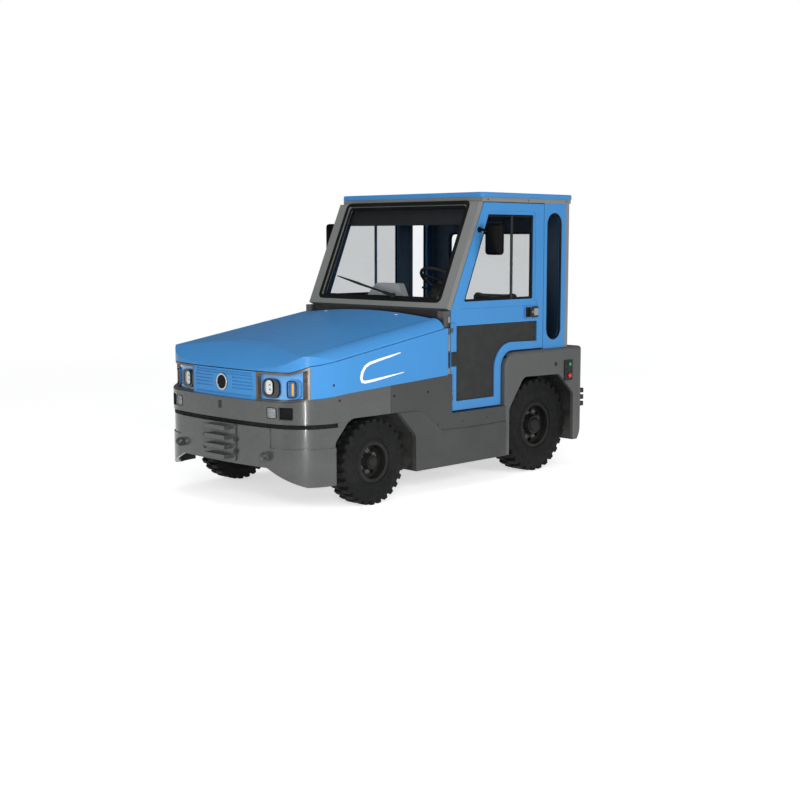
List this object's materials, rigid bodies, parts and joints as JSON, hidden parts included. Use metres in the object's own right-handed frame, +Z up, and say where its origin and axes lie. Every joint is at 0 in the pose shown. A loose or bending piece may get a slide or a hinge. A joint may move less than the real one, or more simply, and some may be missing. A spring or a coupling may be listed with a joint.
{
  "type": "airport baggage tug",
  "caption": "Battery-electric baggage tow tractor with an enclosed glazed cab, hinged hood and doors, steered front wheels, driven rear wheels and a tow hitch at each end.",
  "frame": {"origin": "on the floor under the middle of the vehicle's length and width", "axes": "+X forward, +Y towards the driver's left, +Z up"},
  "size_m": [3.03, 1.762, 2.02],
  "materials": {
    "blue_paint": "gloss blue paint",
    "grey_paint": "satin dark grey paint",
    "black_steel": "satin black paint",
    "light_steel": "bare machined steel",
    "glass": "clear lightly tinted glass",
    "lens": "clear moulded lens",
    "red_lens": "red moulded lens",
    "tyre": "black lugged tyre rubber",
    "black_plastic": "moulded black plastic",
    "grey_plastic": "textured grey plastic",
    "seat_cloth": "dark woven seat cover",
    "amber_lens": "amber moulded lens",
    "bright_trim": "bright trim metal",
    "grey_trim": "satin grey trim",
    "battery_case": "dark battery case"
  },
  "bodies": {
    "tractor": {"lamp_lenses": "lens", "nose_casting": "grey_paint", "side_skirts": "grey_paint", "rear_body": "grey_paint", "chassis": "black_steel", "cab_tub": "grey_paint", "battery": "battery_case", "door_posts": "grey_paint", "windscreen_frame": "grey_paint", "side_panels": "blue_paint", "rear_wall": "grey_paint", "fixed_glass": "glass", "roof_header": "grey_paint", "roof_panel": "blue_paint", "hood_surround": "blue_paint", "headlamps": "blue_paint", "turn_lenses": "amber_lens", "lamp_pods": "black_plastic", "lamp_bezels": "grey_trim", "nose_badge": "bright_trim", "front_axle": "black_steel", "drive_axle": "black_steel", "wheel_liners": "black_plastic", "front_hitch": "grey_paint", "rear_hitch": "black_steel", "rear_buffers": "black_plastic", "tail_lamps": "red_lens", "control_panel": "black_plastic", "dash": "grey_plastic", "steering_column": "black_plastic", "seat_base": "black_steel", "seat_cushion": "seat_cloth", "seat_back": "seat_cloth", "pedals": "black_steel"},
    "door_left": {"door_left": "blue_paint", "door_glass_left": "glass", "door_panel_left": "grey_paint", "door_mirror_left": "black_plastic"},
    "knuckle_left": {"knuckle_left": "black_steel"},
    "front_wheel_left": {"front_tyre_left": "tyre", "front_rim_left": "black_steel"},
    "rear_wheel_left": {"rear_tyre_left": "tyre", "rear_rim_left": "black_steel"},
    "door_right": {"door_right": "blue_paint", "door_glass_right": "glass", "door_panel_right": "grey_paint", "door_mirror_right": "black_plastic"},
    "knuckle_right": {"knuckle_right": "black_steel"},
    "front_wheel_right": {"front_tyre_right": "tyre", "front_rim_right": "black_steel"},
    "rear_wheel_right": {"rear_tyre_right": "tyre", "rear_rim_right": "black_steel"},
    "tie_rod": {"tie_rod": "black_steel"},
    "hood": {"hood_lid": "blue_paint"},
    "wiper": {"wiper": "black_plastic"},
    "steering_wheel": {"steering_wheel": "black_plastic"}
  },
  "joints": [
    {"name": "steer_left", "type": "hinge", "parent": "tractor", "child": "knuckle_left", "pos_m": [0.81, 0.555, 0.28], "axis": [0, 0, 1], "range_deg": [-38, 38]},
    {"name": "front_wheel_left_spin", "type": "hinge", "parent": "knuckle_left", "child": "front_wheel_left", "pos_m": [0.81, 0.67, 0.28], "axis": [0, 1, 0], "continuous": true},
    {"name": "rear_wheel_left_spin", "type": "hinge", "parent": "tractor", "child": "rear_wheel_left", "pos_m": [-0.925, 0.583, 0.34], "axis": [0, 1, 0], "continuous": true},
    {"name": "door_left_swing", "type": "hinge", "parent": "tractor", "child": "door_left", "pos_m": [0.041, 0.712, 1.115], "axis": [0, 0, -1], "range_deg": [0, 80]},
    {"name": "steer_right", "type": "hinge", "parent": "tractor", "child": "knuckle_right", "pos_m": [0.81, -0.555, 0.28], "axis": [0, 0, 1], "range_deg": [-38, 38]},
    {"name": "front_wheel_right_spin", "type": "hinge", "parent": "knuckle_right", "child": "front_wheel_right", "pos_m": [0.81, -0.67, 0.28], "axis": [0, 1, 0], "continuous": true},
    {"name": "rear_wheel_right_spin", "type": "hinge", "parent": "tractor", "child": "rear_wheel_right", "pos_m": [-0.925, -0.583, 0.34], "axis": [0, 1, 0], "continuous": true},
    {"name": "door_right_swing", "type": "hinge", "parent": "tractor", "child": "door_right", "pos_m": [0.041, -0.712, 1.115], "axis": [0, 0, 1], "range_deg": [0, 80]},
    {"name": "tie_rod_turn", "type": "hinge", "parent": "knuckle_left", "child": "tie_rod", "pos_m": [0.68, 0.555, 0.24], "axis": [0, 0, 1], "range_deg": [-38, 38]},
    {"name": "hood_open", "type": "hinge", "parent": "tractor", "child": "hood", "pos_m": [0.165, 0, 1.135], "axis": [0, -1, 0], "range_deg": [0, 48]},
    {"name": "wiper_sweep", "type": "hinge", "parent": "tractor", "child": "wiper", "pos_m": [0.0424, 0.16, 1.3007], "axis": [-0.9127, 0, -0.4087], "range_deg": [0, 80]},
    {"name": "steering_wheel_turn", "type": "hinge", "parent": "tractor", "child": "steering_wheel", "pos_m": [-0.44, 0.18, 1.395], "axis": [-0.5736, 0, 0.8192], "range_deg": [-540, 540]}
  ],
  "couplings": [
    {"joint": "steer_right", "follows": "steer_left", "ratio": 1},
    {"joint": "tie_rod_turn", "follows": "steer_left", "ratio": -1},
    {"joint": "steering_wheel_turn", "follows": "steer_left", "ratio": 14}
  ]
}
